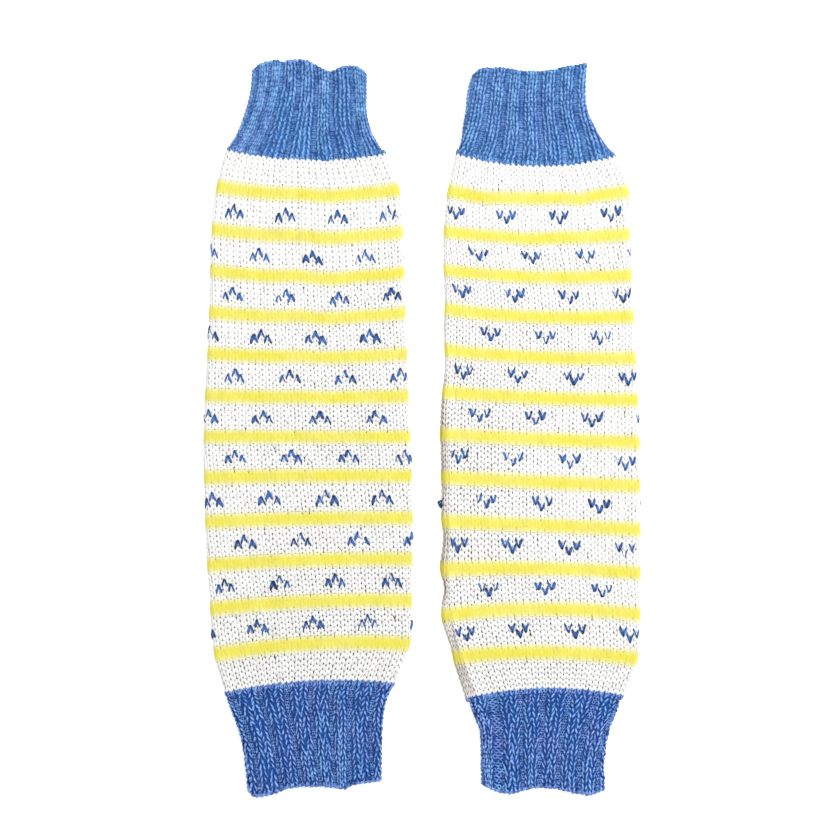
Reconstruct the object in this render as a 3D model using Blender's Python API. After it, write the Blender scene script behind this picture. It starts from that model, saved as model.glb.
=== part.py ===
"""Pair of knitted leg warmers, laid flat side by side.

Each leg warmer is one seamless tube, knitted from hem to hem: a cuff of 14 ribs on 56 stitches,
a striped leg on 64 stitches and a second ribbed cuff. Lying flat, a tube is two layers of cloth
joined by a rounded fold at each side, open at both hems. Each of its three lengths is a solid
of its own, parted from the next by a narrow gap where the colour of the yarn changes.

The frame has +Z up, +Y from the bottom hems to the top hems and +X from the left leg warmer
to the right one. The underside lies on Z = 0.
"""

from bisect import bisect_right
from collections import namedtuple
from math import cos, exp, pi, radians, sin, tanh

import bpy

MM = 0.001

# Knitting, counted in courses up the tube
CUFF_COURSES = 20
LEG_COURSES = 102
TOTAL_COURSES = LEG_COURSES + 2 * CUFF_COURSES
STRIPE_COURSES = 2
STRIPE_REPEAT = 8
STRIPE_COUNT = 12
FIRST_STRIPE = 26

# Cloth, in millimetres
LEG_WALL = 2.4
CUFF_WALL = 2.2
RIB_HEIGHT = 1.3
LAYER_GAP = 1.0
SIDE_PUFF = 1.0
MOUTH_PUFF = 1.0
MOST_LIFT = 2.8

# The gap at each change of yarn, in courses: about 0.3 mm where it is narrowest
SEAM_GAP_COURSES = 0.18

# Ribs stand up from the folds over the upper layer and fade out where the tube turns under,
# by how far the cloth faces up: 0 on the underside, 0.5 at a fold and 1 on the upper layer
RIB_FADE_START = 0.1
RIB_FADE_LENGTH = 0.4

# Reach of the soft shapes: across is a share of the width, along is in courses
SIDE_PUFF_REACH = 0.08
MOUTH_REACH = 5.0
HEM_WAVE_REACH = 4.0

# Facets: steps round each stretch of the tube, phases of one rib from valley to valley with its
# share of the height at each, and the courses of a cuff counted from its hem
FOLD_STEPS = 5
LEG_TOP_STEPS = 14
LEG_UNDERSIDE_STEPS = 5
CUFF_UNDERSIDE_STEPS = 12
RIB_PHASES = (0.0, 0.14, 0.30, 0.50, 0.70, 0.86)
RIB_PROFILE = (0.0, 0.0, 0.85, 1.0, 0.85, 0.0)
CUFF_COURSE_STEPS = (0, 2.5, 6, 10, 14, 17.5)
SHARP_ANGLE = radians(50)

# One row for each measured section, in millimetres: the left and right fold, and how far up
# the tube the course runs at the left fold, in the middle and at the right fold.
Section = namedtuple("Section", "course left right left_y middle_y right_y")

LEFT_SECTIONS = (
    Section(0, -107.0, -24.0, -220.5, -219.0, -215.0),
    Section(6, -109.0, -24.0, -200.5, -199.5, -197.5),
    Section(12, -113.0, -23.0, -182.5, -179.0, -179.0),
    Section(16, -117.5, -21.0, -171.0, -165.5, -167.5),
    Section(20, -120.5, -16.5, -161.5, -154.5, -156.0),
    Section(27, -127.0, -7.0, -138.0, -131.0, -131.5),
    Section(35, -129.5, -6.0, -110.0, -105.5, -105.0),
    Section(51, -132.5, -5.5, -57.0, -55.0, -54.5),
    Section(67, -133.5, -7.0, -4.5, -4.5, -4.5),
    Section(91, -130.0, -10.0, 71.0, 68.0, 71.0),
    Section(107, -128.5, -11.5, 121.5, 117.0, 120.0),
    Section(115, -125.5, -13.5, 147.5, 142.5, 146.0),
    Section(122, -119.5, -21.5, 170.0, 164.0, 168.0),
    Section(127, -113.5, -28.5, 180.5, 178.5, 180.5),
    Section(132, -108.5, -32.0, 193.0, 192.5, 193.0),
    Section(137, -105.0, -32.5, 206.5, 207.5, 206.5),
    Section(142, -104.0, -32.5, 219.5, 222.0, 219.5),
)

RIGHT_SECTIONS = (
    Section(0, 35.0, 112.0, -218.5, -220.5, -220.0),
    Section(6, 35.0, 112.0, -201.0, -201.5, -202.5),
    Section(12, 34.0, 115.5, -184.0, -182.0, -184.5),
    Section(16, 30.0, 120.0, -173.5, -169.5, -173.5),
    Section(20, 27.0, 123.5, -164.5, -158.5, -163.0),
    Section(27, 16.5, 132.0, -139.5, -136.5, -140.5),
    Section(35, 12.0, 133.5, -114.0, -110.0, -113.5),
    Section(51, 11.5, 133.5, -56.5, -59.0, -61.5),
    Section(67, 11.5, 133.0, -3.5, -6.5, -8.5),
    Section(91, 12.0, 129.5, 73.0, 68.0, 68.5),
    Section(107, 13.0, 127.0, 120.0, 116.5, 118.5),
    Section(115, 15.5, 126.5, 145.0, 140.5, 144.5),
    Section(122, 20.5, 118.5, 168.0, 160.5, 166.5),
    Section(127, 23.0, 110.0, 180.5, 175.5, 179.5),
    Section(132, 25.5, 102.5, 193.0, 190.5, 193.0),
    Section(137, 27.0, 100.5, 206.5, 204.5, 207.0),
    Section(142, 30.0, 100.5, 218.5, 219.5, 221.0),
)

# How far each hem's edge stands past its section, in millimetres, from the left fold (0)
# to the right fold (1)
HemWave = namedtuple("HemWave", "across reach")

LEFT_TOP_HEM = (
    HemWave(0.0, -2.6), HemWave(0.05, 1.0), HemWave(0.17, 3.8), HemWave(0.26, 2.4), HemWave(0.44, 2.8),
    HemWave(0.54, 0.3), HemWave(0.67, -3.6), HemWave(0.8, 0.0), HemWave(0.92, 0.9), HemWave(1.0, -2.8),
)
LEFT_BOTTOM_HEM = (
    HemWave(0.0, 0.4), HemWave(0.06, 4.2), HemWave(0.17, 2.6), HemWave(0.32, -0.6), HemWave(0.5, -0.6),
    HemWave(0.64, 0.8), HemWave(0.72, 2.4), HemWave(0.8, 0.4), HemWave(1.0, 0.2),
)
RIGHT_TOP_HEM = (
    HemWave(0.0, -7.5), HemWave(0.04, -2.6), HemWave(0.12, 1.0), HemWave(0.27, 1.2), HemWave(0.42, -0.9),
    HemWave(0.65, -1.5), HemWave(0.8, 0.3), HemWave(0.94, 1.2), HemWave(1.0, 0.2),
)
RIGHT_BOTTOM_HEM = (
    HemWave(0.0, -1.2), HemWave(0.16, 2.7), HemWave(0.26, 2.4), HemWave(0.44, -1.1), HemWave(0.6, -0.7),
    HemWave(0.8, 2.4), HemWave(0.9, 3.2), HemWave(1.0, 0.6),
)

# The largest soft folds of the upper layer: a ridge rises, a trough falls. The centre is a share
# of the width and a course, with the half width (share), half length (courses) and rise (mm).
Fold = namedtuple("Fold", "across course half_width half_length rise")

LEFT_FOLDS = (
    Fold(0.14, 139, 0.12, 7, 1.5),
    Fold(0.42, 140, 0.10, 8, 1.7),
    Fold(0.68, 141, 0.09, 7, -0.5),
    Fold(0.90, 138, 0.10, 8, 1.3),
    Fold(0.40, 112, 0.05, 9, 0.9),
    Fold(0.62, 108, 0.10, 10, 0.7),
    Fold(0.12, 66, 0.07, 24, 1.2),
    Fold(0.86, 58, 0.08, 26, 1.0),
    Fold(0.50, 34, 0.14, 12, 0.8),
    Fold(0.12, 4, 0.10, 8, 1.5),
    Fold(0.46, 3, 0.14, 7, 0.9),
    Fold(0.76, 2, 0.09, 8, 1.5),
)
RIGHT_FOLDS = (
    Fold(0.10, 138, 0.12, 8, 1.4),
    Fold(0.52, 140, 0.16, 8, 0.7),
    Fold(0.92, 139, 0.08, 8, 1.5),
    Fold(0.30, 110, 0.09, 12, 0.8),
    Fold(0.74, 106, 0.08, 12, 0.8),
    Fold(0.02, 60, 0.06, 30, 2.2),
    Fold(0.03, 26, 0.07, 10, 2.6),
    Fold(0.88, 62, 0.08, 28, 1.0),
    Fold(0.56, 32, 0.12, 10, 0.7),
    Fold(0.22, 3, 0.10, 8, 1.5),
    Fold(0.54, 2, 0.12, 7, -0.4),
    Fold(0.86, 3, 0.10, 8, 1.6),
)

# The valleys between the ribs of each cuff, from the left fold (0) to the right fold (1): where
# each lies at the hem, half way up the cuff and at the leg. The first and last are under the folds.
RibValley = namedtuple("RibValley", "hem middle leg")

LEFT_BOTTOM_RIBS = (
    RibValley(-0.05, -0.07, -0.09), RibValley(0.105, 0.075, 0.045), RibValley(0.265, 0.225, 0.205),
    RibValley(0.415, 0.375, 0.362), RibValley(0.545, 0.515, 0.512), RibValley(0.655, 0.64, 0.643),
    RibValley(0.755, 0.76, 0.765), RibValley(0.93, 0.905, 0.90), RibValley(1.07, 1.05, 1.04),
)
LEFT_TOP_RIBS = (
    RibValley(-0.08, -0.08, -0.10), RibValley(0.052, 0.05, 0.037), RibValley(0.165, 0.15, 0.12),
    RibValley(0.27, 0.245, 0.20), RibValley(0.40, 0.41, 0.372), RibValley(0.545, 0.565, 0.54),
    RibValley(0.68, 0.69, 0.695), RibValley(0.843, 0.87, 0.85), RibValley(0.975, 0.985, 1.0),
    RibValley(1.10, 1.12, 1.14),
)
RIGHT_BOTTOM_RIBS = (
    RibValley(-0.11, -0.12, -0.13), RibValley(0.05, 0.036, 0.025), RibValley(0.183, 0.178, 0.19),
    RibValley(0.35, 0.33, 0.345), RibValley(0.476, 0.48, 0.49), RibValley(0.622, 0.638, 0.664),
    RibValley(0.783, 0.799, 0.834), RibValley(0.933, 0.95, 0.985), RibValley(1.08, 1.10, 1.13),
)
RIGHT_TOP_RIBS = (
    RibValley(-0.10, -0.10, -0.16), RibValley(0.035, 0.035, -0.025), RibValley(0.175, 0.176, 0.105),
    RibValley(0.316, 0.316, 0.235), RibValley(0.452, 0.455, 0.385), RibValley(0.588, 0.598, 0.53),
    RibValley(0.745, 0.745, 0.682), RibValley(0.905, 0.886, 0.815), RibValley(1.04, 1.03, 0.962),
    RibValley(1.17, 1.16, 1.10),
)

# One row for each leg warmer
LegWarmer = namedtuple("LegWarmer", "side sections bottom_hem top_hem folds bottom_ribs top_ribs")

LEG_WARMERS = (
    LegWarmer("left", LEFT_SECTIONS, LEFT_BOTTOM_HEM, LEFT_TOP_HEM, LEFT_FOLDS,
              LEFT_BOTTOM_RIBS, LEFT_TOP_RIBS),
    LegWarmer("right", RIGHT_SECTIONS, RIGHT_BOTTOM_HEM, RIGHT_TOP_HEM, RIGHT_FOLDS,
              RIGHT_BOTTOM_RIBS, RIGHT_TOP_RIBS),
)

# Yarn colours, linear red, green and blue, with their roughness
BLUE_CUFF = ((0.085, 0.203, 0.500), 0.95)
WHITE_KNIT = ((0.905, 0.900, 0.870), 0.90)
YELLOW_STRIPE = ((0.920, 0.870, 0.190), 0.90)


def yarn_material(name, colour, roughness):
    """A plain matt finish in one yarn colour."""
    material = bpy.data.materials.new(name)
    material.use_nodes = True
    shader = material.node_tree.nodes["Principled BSDF"]
    shader.inputs["Base Color"].default_value = (*colour, 1.0)
    shader.inputs["Roughness"].default_value = roughness
    shader.inputs["Metallic"].default_value = 0.0
    shader.inputs["Sheen Weight"].default_value = 0.3
    return material


def smooth_step(share):
    """0 below 0 and 1 above 1, with a soft start and end between them."""
    share = min(max(share, 0.0), 1.0)
    return share * share * (3 - 2 * share)


def smooth_row(rows, place):
    """Every column of a table at one place of its first column, on a smooth curve through the rows."""
    stops = [row[0] for row in rows]
    index = min(max(bisect_right(stops, place) - 1, 0), len(rows) - 2)
    start, end = rows[index], rows[index + 1]
    before, after = rows[max(index - 1, 0)], rows[min(index + 2, len(rows) - 1)]
    span = end[0] - start[0]
    t = (place - start[0]) / span
    values = []
    for column in range(1, len(start)):
        start_slope = (end[column] - before[column]) / (end[0] - before[0])
        end_slope = (after[column] - start[column]) / (after[0] - start[0])
        values.append(
            start[column] * (1 + 2 * t) * (1 - t) ** 2
            + end[column] * (3 - 2 * t) * t ** 2
            + start_slope * span * t * (1 - t) ** 2
            - end_slope * span * (1 - t) * t ** 2
        )
    return values


def flat_tube_point(arc, width, radius):
    """A point on the outline of a flattened tube, and the direction that faces out of it.

    The arc is a length round the tube from the outermost point of the left fold, over the
    upper layer, the right fold and the underside. Across runs from the left fold.
    """
    quarter = radius * pi / 2
    straight = width - 2 * radius
    perimeter = 2 * straight + 4 * quarter
    arc %= perimeter
    if arc < quarter:
        angle = pi - arc / radius
        return radius + radius * cos(angle), radius + radius * sin(angle), cos(angle), sin(angle)
    arc -= quarter
    if arc < straight:
        return radius + arc, 2 * radius, 0.0, 1.0
    arc -= straight
    if arc < 2 * quarter:
        angle = pi / 2 - arc / radius
        return width - radius + radius * cos(angle), radius + radius * sin(angle), cos(angle), sin(angle)
    arc -= 2 * quarter
    if arc < straight:
        return width - radius - arc, 0.0, 0.0, -1.0
    arc -= straight
    angle = -pi / 2 - arc / radius
    return radius + radius * cos(angle), radius + radius * sin(angle), cos(angle), sin(angle)


def upper_layer_lift(leg_warmer, across, course):
    """How far the upper layer lies above its lowest height, in millimetres."""
    to_side = min(across, 1 - across)
    to_hem = min(course, TOTAL_COURSES - course)
    lift = SIDE_PUFF * exp(-((to_side / SIDE_PUFF_REACH) ** 2))
    lift += MOUTH_PUFF * exp(-to_hem / MOUTH_REACH) * smooth_step(to_side / SIDE_PUFF_REACH)
    for fold in leg_warmer.folds:
        beside = (across - fold.across) / fold.half_width
        along = (course - fold.course) / fold.half_length
        lift += fold.rise * exp(-beside ** 2 - along ** 2)
    return MOST_LIFT * tanh(lift / MOST_LIFT)


def height_along(leg_warmer, across, course):
    """How far up the tube a course runs at one share of the width, with the wave of the hems."""
    _, _, left_y, middle_y, right_y = smooth_row(leg_warmer.sections, course)
    bow = middle_y - (left_y + right_y) / 2
    height = left_y + (right_y - left_y) * across + 4 * bow * across * (1 - across)
    bottom_wave = smooth_row(leg_warmer.bottom_hem, across)[0]
    top_wave = smooth_row(leg_warmer.top_hem, across)[0]
    height -= bottom_wave * exp(-course / HEM_WAVE_REACH)
    height += top_wave * exp(-(TOTAL_COURSES - course) / HEM_WAVE_REACH)
    return height


def place_point(leg_warmer, course, left, width, out_x, out_z, upper):
    """A point of the cloth in metres; upper is 0 on the underside and 1 on the upper layer."""
    across = min(max(out_x / width, 0.0), 1.0)
    lift = upper_layer_lift(leg_warmer, across, course) * smooth_step(upper)
    return (left + out_x) * MM, height_along(leg_warmer, across, course) * MM, (out_z + lift) * MM


def section_rings(leg_warmer, course, wall, rib_height, stations):
    """The outer and inner ring of points at one course.

    A station is a share of the perimeter with the share of the rib's height that it has.
    The ribs reach out to the measured folds, so the wall under them starts inside those.
    """
    left, right = smooth_row(leg_warmer.sections, course)[:2]
    left += rib_height
    width = right - rib_height - left
    radius = wall + LAYER_GAP / 2
    perimeter = 2 * (width - 2 * radius) + 2 * pi * radius
    outer, inner = [], []
    for share, rib in stations(course, perimeter, radius):
        across, height, face_x, face_z = flat_tube_point(share * perimeter, width, radius)
        upper = (1 + face_z) / 2
        raised = rib_height * rib * smooth_step((upper - RIB_FADE_START) / RIB_FADE_LENGTH)
        outer.append(place_point(leg_warmer, course, left, width,
                                 across + face_x * raised, height + face_z * raised, upper))
        inner.append(place_point(leg_warmer, course, left, width,
                                 across - face_x * wall, height - face_z * wall, upper))
    return outer, inner


def plain_stations(_, perimeter, radius):
    """Stations of a plain tube: close together round the folds, wider apart between them."""
    quarter = radius * pi / 2 / perimeter
    straight = 0.5 - 2 * quarter
    stations = []
    for start, length, steps in (
        (-quarter, 2 * quarter, FOLD_STEPS),
        (quarter, straight, LEG_TOP_STEPS),
        (0.5 - quarter, 2 * quarter, FOLD_STEPS),
        (0.5 + quarter, straight, LEG_UNDERSIDE_STEPS),
    ):
        stations += [(start + length * step / steps, 0.0) for step in range(steps)]
    return stations


def valley_place(valley, from_hem):
    """Where a valley lies across the tube, on a smooth curve from the hem to the leg."""
    t = from_hem / CUFF_COURSES
    return (valley.hem * (1 - t) * (1 - 2 * t)
            + valley.middle * 4 * t * (1 - t)
            + valley.leg * t * (2 * t - 1))


def ribbed_stations(valleys):
    """Stations of a ribbed tube: six on each rib of the upper layer, few on the underside.

    Across the upper layer, half of the perimeter runs from one fold to the other.
    """
    def stations(course, _, __):
        from_hem = min(course, TOTAL_COURSES - course)
        places = [valley_place(valley, from_hem) / 2 for valley in valleys]
        result = []
        for start, end in zip(places, places[1:]):
            for phase, profile in zip(RIB_PHASES, RIB_PROFILE):
                result.append((start + phase * (end - start), profile))
        underside = places[0] + 1 - places[-1]
        result += [(places[-1] + underside * step / CUFF_UNDERSIDE_STEPS, 0.0)
                   for step in range(CUFF_UNDERSIDE_STEPS)]
        return result
    return stations


def tube(name, collection, leg_warmer, courses, wall, rib_height, stations, materials, stripe_of=None):
    """Loft one length of the leg warmer as a closed wall that is open at both ends."""
    outer_rings, inner_rings = [], []
    for course in courses:
        outer, inner = section_rings(leg_warmer, course, wall, rib_height, stations)
        outer_rings.append(outer)
        inner_rings.append(inner)
    around = len(outer_rings[0])
    levels = len(courses)
    vertices = [point for ring in outer_rings + inner_rings for point in ring]
    inside = around * levels
    faces, slots = [], []
    for level in range(levels - 1):
        slot = stripe_of(courses[level], courses[level + 1]) if stripe_of else 0
        for step in range(around):
            after = (step + 1) % around
            low, low_after = level * around + step, level * around + after
            high, high_after = low + around, low_after + around
            faces.append((low, low_after, high_after, high))
            faces.append((inside + low, inside + high, inside + high_after, inside + low_after))
            slots += [slot, slot]
    top = (levels - 1) * around
    for step in range(around):
        after = (step + 1) % around
        faces.append((step, inside + step, inside + after, after))
        faces.append((top + step, top + after, inside + top + after, inside + top + step))
        slots += [0, 0]
    mesh = bpy.data.meshes.new(name)
    mesh.from_pydata(vertices, [], faces)
    for material in materials:
        mesh.materials.append(material)
    mesh.polygons.foreach_set("material_index", slots)
    mesh.shade_smooth()
    mesh.set_sharp_from_angle(angle=SHARP_ANGLE)
    piece = bpy.data.objects.new(name, mesh)
    collection.objects.link(piece)
    return piece


def leg_courses():
    """Courses at the two ends of the leg and at both edges of every stripe."""
    courses = [CUFF_COURSES + SEAM_GAP_COURSES / 2]
    for stripe in range(STRIPE_COUNT):
        start = FIRST_STRIPE + stripe * STRIPE_REPEAT
        courses += [start, start + STRIPE_COURSES]
    courses.append(CUFF_COURSES + LEG_COURSES - SEAM_GAP_COURSES / 2)
    return courses


def stripe_slot(start, end):
    """Material slot 1 between the two edges of a stripe and 0 between stripes."""
    return 1 if end - start == STRIPE_COURSES else 0


def build_leg_warmer(leg_warmer, collection, blue, white, yellow):
    """Make the bottom cuff, the leg and the top cuff of one leg warmer."""
    from_hem = list(CUFF_COURSE_STEPS) + [CUFF_COURSES - SEAM_GAP_COURSES / 2]
    tube(f"{leg_warmer.side}_bottom_cuff", collection, leg_warmer, from_hem, CUFF_WALL, RIB_HEIGHT,
         ribbed_stations(leg_warmer.bottom_ribs), [blue])
    tube(f"{leg_warmer.side}_leg", collection, leg_warmer, leg_courses(), LEG_WALL, 0.0,
         plain_stations, [white, yellow], stripe_slot)
    to_hem = [TOTAL_COURSES - course for course in reversed(from_hem)]
    tube(f"{leg_warmer.side}_top_cuff", collection, leg_warmer, to_hem, CUFF_WALL, RIB_HEIGHT,
         ribbed_stations(leg_warmer.top_ribs), [blue])


def build():
    """Clear the scene and build the pair in a collection of its own."""
    for old in list(bpy.data.objects):
        bpy.data.objects.remove(old, do_unlink=True)
    collection = bpy.data.collections.new("leg_warmers")
    bpy.context.scene.collection.children.link(collection)
    blue = yarn_material("blue_cuff_yarn", *BLUE_CUFF)
    white = yarn_material("white_knit_yarn", *WHITE_KNIT)
    yellow = yarn_material("yellow_stripe_yarn", *YELLOW_STRIPE)
    for leg_warmer in LEG_WARMERS:
        build_leg_warmer(leg_warmer, collection, blue, white, yellow)


build()
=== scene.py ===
from collections import namedtuple
from math import pi, radians

import bpy
import numpy as np
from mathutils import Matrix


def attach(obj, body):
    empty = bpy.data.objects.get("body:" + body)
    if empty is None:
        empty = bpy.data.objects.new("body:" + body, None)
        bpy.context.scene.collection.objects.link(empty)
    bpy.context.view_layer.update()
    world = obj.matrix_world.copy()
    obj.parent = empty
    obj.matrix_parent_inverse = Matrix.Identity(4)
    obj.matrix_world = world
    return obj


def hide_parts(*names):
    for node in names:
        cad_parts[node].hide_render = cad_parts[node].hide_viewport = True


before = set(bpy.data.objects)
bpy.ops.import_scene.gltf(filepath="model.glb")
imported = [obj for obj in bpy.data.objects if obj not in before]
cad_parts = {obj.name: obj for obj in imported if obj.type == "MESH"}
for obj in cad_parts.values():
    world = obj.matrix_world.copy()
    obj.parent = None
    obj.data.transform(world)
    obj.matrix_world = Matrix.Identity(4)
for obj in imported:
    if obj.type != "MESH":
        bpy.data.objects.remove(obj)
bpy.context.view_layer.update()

MM = 0.001

# Camera
# The pair lay flat and was photographed from straight above, so the camera looks straight down
# and takes in the same square of the surface. Sizes are in millimetres unless they say metres.
VIEW_WIDTH = 512.4
VIEW_CENTRE = (-1.2, 5.2)
CAMERA_HEIGHT = 1600.0
CLOTH_HEIGHT = 5.0
SENSOR_WIDTH = 36.0


def new_object(name, data):
    """An object placed in the scene."""
    thing = bpy.data.objects.new(name, data)
    bpy.context.scene.collection.objects.link(thing)
    return thing


camera_data = bpy.data.cameras.new("camera")
camera_data.sensor_width = SENSOR_WIDTH
camera_data.lens = SENSOR_WIDTH * (CAMERA_HEIGHT - CLOTH_HEIGHT) / VIEW_WIDTH
camera = new_object("camera", camera_data)
camera.location = (VIEW_CENTRE[0] * MM, VIEW_CENTRE[1] * MM, CAMERA_HEIGHT * MM)
bpy.context.scene.camera = camera

# Floor and light
# The pair lies on a plain white surface under soft light: a large lamp at the upper right and pale light
# from all round. It is bright enough for the white wool to wash out nearly to white. The floor also glows a
# little, painted light that fills in the shadows on it and lights the pair from below.
FLOOR_METRES = 4.0
FLOOR_DROP = 0.2
FLOOR_COLOUR = (0.90, 0.90, 0.895)
FLOOR_SPECK = 60.0
FLOOR_GLOW = 0.45
SKY_STRENGTH = 0.80
LAMP_PLACE_METRES = (0.55, 0.50, 1.15)
LAMP_METRES = 1.2
LAMP_POWER = 15.5
WHITE_LIGHT = (1.0, 1.0, 1.0, 1.0)


def set_inputs(node, **inputs):
    """Sets named inputs of a shader node, each to a value or to the output of another node."""
    for name, value in inputs.items():
        socket = node.inputs[name.replace("_", " ")]
        if isinstance(value, bpy.types.NodeSocket):
            node.id_data.links.new(value, socket)
        else:
            socket.default_value = value


def add_node(material, kind, settings=None, **inputs):
    """A shader node of one kind, with its settings and its named inputs."""
    node = material.node_tree.nodes.new(kind)
    for name, value in (settings or {}).items():
        setattr(node, name, value)
    set_inputs(node, **inputs)
    return node


def shader_of(material):
    return material.node_tree.nodes["Principled BSDF"]


def new_material(name, **inputs):
    """A material whose shader has some of its inputs set."""
    material = bpy.data.materials.new(name)
    material.use_nodes = True
    set_inputs(shader_of(material), **inputs)
    return material


def noise(material, place, scale, detail, **inputs):
    """Soft specks, placed by an output or else by the object's own box."""
    if place:
        inputs["Vector"] = place
    return add_node(material, "ShaderNodeTexNoise", Scale=scale, Detail=detail, **inputs).outputs["Fac"]


def mapped(material, value, **limits):
    """A number brought from one range to another, each from 0 to 1 where no limit is given."""
    return add_node(material, "ShaderNodeMapRange", Value=value, **limits).outputs["Result"]


def mix_colours(material, factor, first, second, way="MIX"):
    """A mix of two colours by a factor, where each is a value or the output of another node."""
    first, second = ((*colour, 1.0) if isinstance(colour, tuple) else colour for colour in (first, second))
    mix = add_node(material, "ShaderNodeMix", {"data_type": "RGBA", "blend_type": way},
                   Factor=factor, A=first, B=second)
    return mix.outputs["Result"]


# The floor's glow is painted light: it is no lamp, but it washes out the pair's shadow on the floor
floor_paper = new_material("floor_paper", Roughness=0.95, Emission_Color=WHITE_LIGHT,
                           Emission_Strength=FLOOR_GLOW)
speck = mapped(floor_paper, noise(floor_paper, None, FLOOR_SPECK, 4.0), To_Min=0.985, To_Max=1.015)
speckled = mix_colours(floor_paper, 1.0, FLOOR_COLOUR, speck, "MULTIPLY")
set_inputs(shader_of(floor_paper), Base_Color=speckled)

bpy.ops.mesh.primitive_plane_add(size=FLOOR_METRES, location=(0, 0, -FLOOR_DROP * MM))
floor = bpy.context.object
floor.name = "floor"
floor.data.materials.append(floor_paper)

world = bpy.data.worlds.new("studio")
world.use_nodes = True
set_inputs(world.node_tree.nodes["Background"], Color=WHITE_LIGHT, Strength=SKY_STRENGTH)
bpy.context.scene.world = world

lamp_data = bpy.data.lights.new("studio_lamp", "AREA")
lamp_data.shape = "DISK"
lamp_data.size = LAMP_METRES
lamp_data.energy = LAMP_POWER
lamp = new_object("studio_lamp", lamp_data)
lamp.location = LAMP_PLACE_METRES
lamp.rotation_euler = lamp.location.to_track_quat("Z", "Y").to_euler()

bpy.context.scene.view_settings.view_transform = "Standard"

# Cloth of the tubes
# Each leg warmer is one seamless tube, knitted from hem to hem: a cuff of 14 ribs on 56 stitches,
# a leg on 64 stitches and a second cuff. Laid flat it is two layers joined by a soft fold at each
# side. These shells are the back of the cloth: they show inside the mouths and between stitches.
RIBS_ROUND = 14
CUFF_STITCHES = 4 * RIBS_ROUND
LEG_STITCHES = 64
CUFF_COURSES = 20
LEG_COURSES = 102
TOTAL_COURSES = LEG_COURSES + 2 * CUFF_COURSES
LAYER_GAP = 1.0
SIDE_PUFF = 1.0
MOUTH_PUFF = 1.0
MOST_LIFT = 2.8
RIB_HEIGHT = 1.3
RIB_FADE_START = 0.1
RIB_FADE_LENGTH = 0.4
SIDE_PUFF_REACH = 0.08
MOUTH_REACH = 5.0
HEM_WAVE_REACH = 4.0


def rows_of(kind, *rows):
    """A table whose rows have named values."""
    return tuple(kind(*row) for row in rows)


# One row for each measured section: the left and right fold, and how far up the tube the course
# runs at the left fold, in the middle and at the right fold
Section = namedtuple("Section", "course left right left_y middle_y right_y")
LEFT_SECTIONS = rows_of(
    Section, (0, -107, -24, -220.5, -219, -215), (6, -109, -24, -200.5, -199.5, -197.5),
    (12, -113, -23, -182.5, -179, -179), (16, -117.5, -21, -171, -165.5, -167.5),
    (20, -120.5, -16.5, -161.5, -154.5, -156), (27, -127, -7, -138, -131, -131.5),
    (35, -129.5, -6, -110, -105.5, -105), (51, -132.5, -5.5, -57, -55, -54.5),
    (67, -133.5, -7, -4.5, -4.5, -4.5), (91, -130, -10, 71, 68, 71),
    (107, -128.5, -11.5, 121.5, 117, 120), (115, -125.5, -13.5, 147.5, 142.5, 146),
    (122, -119.5, -21.5, 170, 164, 168), (127, -113.5, -28.5, 180.5, 178.5, 180.5),
    (132, -108.5, -32, 193, 192.5, 193), (137, -105, -32.5, 206.5, 207.5, 206.5),
    (142, -104, -32.5, 219.5, 222, 219.5),
)
RIGHT_SECTIONS = rows_of(
    Section, (0, 35, 112, -218.5, -220.5, -220), (6, 35, 112, -201, -201.5, -202.5),
    (12, 34, 115.5, -184, -182, -184.5), (16, 30, 120, -173.5, -169.5, -173.5),
    (20, 27, 123.5, -164.5, -158.5, -163), (27, 16.5, 132, -139.5, -136.5, -140.5),
    (35, 12, 133.5, -114, -110, -113.5), (51, 11.5, 133.5, -56.5, -59, -61.5),
    (67, 11.5, 133, -3.5, -6.5, -8.5), (91, 12, 129.5, 73, 68, 68.5), (107, 13, 127, 120, 116.5, 118.5),
    (115, 15.5, 126.5, 145, 140.5, 144.5), (122, 20.5, 118.5, 168, 160.5, 166.5),
    (127, 23, 110, 180.5, 175.5, 179.5), (132, 25.5, 102.5, 193, 190.5, 193),
    (137, 27, 100.5, 206.5, 204.5, 207), (142, 30, 101.5, 218.5, 219.5, 221),
)

# How far each hem's edge stands past its section, from the left fold (0) to the right fold (1)
HemWave = namedtuple("HemWave", "across reach")
LEFT_TOP_HEM = rows_of(
    HemWave, (0, -0.2), (0.05, 2.3), (0.14, 3.6), (0.21, 3.5), (0.26, 2.1), (0.31, 3.2), (0.45, 3),
    (0.54, 0.3), (0.67, -3.6), (0.8, 0), (0.92, 0.9), (1, -2.8),
)
LEFT_BOTTOM_HEM = rows_of(
    HemWave, (0, 1.6), (0.06, 4.4), (0.17, 3.2), (0.32, -0.6), (0.5, -0.6), (0.64, 0.8), (0.72, 2.4),
    (0.8, 0.4), (1, 0.2),
)
RIGHT_TOP_HEM = rows_of(
    HemWave, (0, -2.2), (0.04, 0.2), (0.12, 1.4), (0.27, 1.2), (0.42, -0.9), (0.65, -1.5), (0.8, 0.3),
    (0.94, 1.6), (1, 2.2),
)
RIGHT_BOTTOM_HEM = rows_of(
    HemWave, (0, -1.2), (0.16, 2.7), (0.26, 2.4), (0.44, -1.1), (0.6, -0.7), (0.8, 2.4), (0.9, 3.2),
    (1, 0.6),
)

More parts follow.
